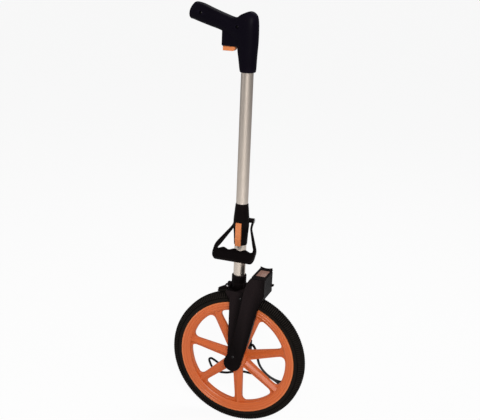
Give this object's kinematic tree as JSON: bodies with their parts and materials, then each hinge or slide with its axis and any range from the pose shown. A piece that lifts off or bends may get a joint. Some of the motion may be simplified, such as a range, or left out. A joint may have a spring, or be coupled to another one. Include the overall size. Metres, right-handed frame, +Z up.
{
  "type": "measuring wheel",
  "caption": "Measuring wheel: spoked wheel in a fork with belt-driven counter, folding pole, pistol grip with brake trigger, carrying handle and wire stand.",
  "frame": {"origin": "where the tyre stands on the ground, under the axle and in the wheel's middle plane", "axes": "+Z up, +X the direction of travel, Y along the axle with the belt casing on the -Y side"},
  "size_m": [0.3231, 0.297, 0.9494],
  "materials": {
    "orange_plastic": "satin",
    "black_plastic": "satin",
    "grip_plastic": "satin",
    "black_rubber": "matte",
    "tyre_rubber": "matte",
    "silver_tube": "satin",
    "steel": "satin",
    "dark_steel": "gloss",
    "white_plastic": "satin",
    "window_plastic": "gloss"
  },
  "bodies": {
    "frame": {"fork_near": "black_plastic", "fork_far": "black_plastic", "fork_screw_near": "dark_steel", "fork_screw_far": "dark_steel", "axle_bush_near": "white_plastic", "axle_bush_far": "white_plastic", "drive_plate": "black_plastic", "drive_cover": "black_plastic", "cover_screw": "dark_steel", "drive_belt": "black_rubber", "counter_body": "black_plastic", "counter_bezel": "black_plastic", "counter_window": "window_plastic", "counter_screw_back": "dark_steel", "counter_screw_front": "dark_steel", "transfer_gears": "steel", "lower_tube": "silver_tube", "hinge_lower": "black_plastic", "hinge_pin": "steel", "brake_pin": "steel", "stand_bracket": "black_plastic", "bracket_screw_left": "dark_steel", "bracket_screw_right": "dark_steel"},
    "wheel": {"wheel_rim": "orange_plastic", "tyre": "tyre_rubber", "axle": "steel", "axle_nut": "steel", "drive_pulley": "white_plastic"},
    "counter_drive": {"upper_pulley": "white_plastic", "drum_shaft": "steel", "drum_1": "white_plastic"},
    "drum_second": {"drum_2": "white_plastic"},
    "drum_third": {"drum_3": "white_plastic"},
    "drum_fourth": {"drum_4": "white_plastic"},
    "drum_fifth": {"drum_5": "white_plastic"},
    "pole": {"hinge_upper": "black_plastic", "upper_tube": "silver_tube", "grip_near": "grip_plastic", "grip_far": "grip_plastic", "grip_screw_arm": "dark_steel", "grip_screw_stem": "dark_steel", "trigger_spring": "steel"},
    "latch": {"latch": "orange_plastic"},
    "trigger": {"trigger": "orange_plastic"},
    "carry_handle": {"carry_handle": "black_plastic"},
    "brake": {"brake_arm": "black_plastic", "brake_pad": "black_rubber"},
    "stand": {"kickstand": "dark_steel"},
    "reset": {"reset_lever": "black_plastic"}
  },
  "joints": [
    {"name": "wheel_spin", "type": "hinge", "parent": "frame", "child": "wheel", "pos_m": [0, 0, 0.15915], "axis": [0, 1, 0], "continuous": true},
    {"name": "counter_spin", "type": "hinge", "parent": "frame", "child": "counter_drive", "pos_m": [0.0515, 0, 0.359], "axis": [0, 1, 0], "continuous": true},
    {"name": "drum_second_spin", "type": "hinge", "parent": "frame", "child": "drum_second", "pos_m": [0.0515, 0, 0.359], "axis": [0, 1, 0], "continuous": true},
    {"name": "drum_third_spin", "type": "hinge", "parent": "frame", "child": "drum_third", "pos_m": [0.0515, 0, 0.359], "axis": [0, 1, 0], "continuous": true},
    {"name": "drum_fourth_spin", "type": "hinge", "parent": "frame", "child": "drum_fourth", "pos_m": [0.0515, 0, 0.359], "axis": [0, 1, 0], "continuous": true},
    {"name": "drum_fifth_spin", "type": "hinge", "parent": "frame", "child": "drum_fifth", "pos_m": [0.0515, 0, 0.359], "axis": [0, 1, 0], "continuous": true},
    {"name": "pole_fold", "type": "hinge", "parent": "frame", "child": "pole", "pos_m": [-0.005, 0.0215, 0.484], "axis": [-1, 0, 0], "range_deg": [0, 160]},
    {"name": "latch_slide", "type": "slide", "parent": "frame", "child": "latch", "axis": [0, 0, 1], "range_m": [-0.006, 0]},
    {"name": "carry_handle_swing", "type": "hinge", "parent": "frame", "child": "carry_handle", "pos_m": [-0.005, 0.0215, 0.484], "axis": [-1, 0, 0], "range_deg": [-10, 95]},
    {"name": "trigger_slide", "type": "slide", "parent": "pole", "child": "trigger", "axis": [0, 0, 1], "range_m": [0, 0.006], "stiffness_N_per_m": 300, "deforming": ["trigger_spring"]},
    {"name": "brake_swing", "type": "hinge", "parent": "frame", "child": "brake", "pos_m": [-0.0285, 0, 0.3335], "axis": [0, -1, 0], "range_deg": [0, 7]},
    {"name": "stand_swing", "type": "hinge", "parent": "frame", "child": "stand", "pos_m": [0, 0.055, 0.163], "axis": [1, 0, 0], "range_deg": [0, 140]},
    {"name": "reset_press", "type": "hinge", "parent": "frame", "child": "reset", "pos_m": [0.052, 0.0303, 0.334], "axis": [0, 1, 0], "range_deg": [0, 20], "stiffness_Nm_per_rad": 0.01}
  ],
  "couplings": [
    {"joint": "counter_spin", "follows": "wheel_spin", "ratio": 1},
    {"joint": "drum_second_spin", "follows": "wheel_spin", "ratio": 0.1},
    {"joint": "drum_third_spin", "follows": "wheel_spin", "ratio": 0.01},
    {"joint": "drum_fourth_spin", "follows": "wheel_spin", "ratio": 0.001},
    {"joint": "drum_fifth_spin", "follows": "wheel_spin", "ratio": 0.0001},
    {"joint": "brake_swing", "follows": "trigger_slide", "rad_per_m": 20.36}
  ]
}
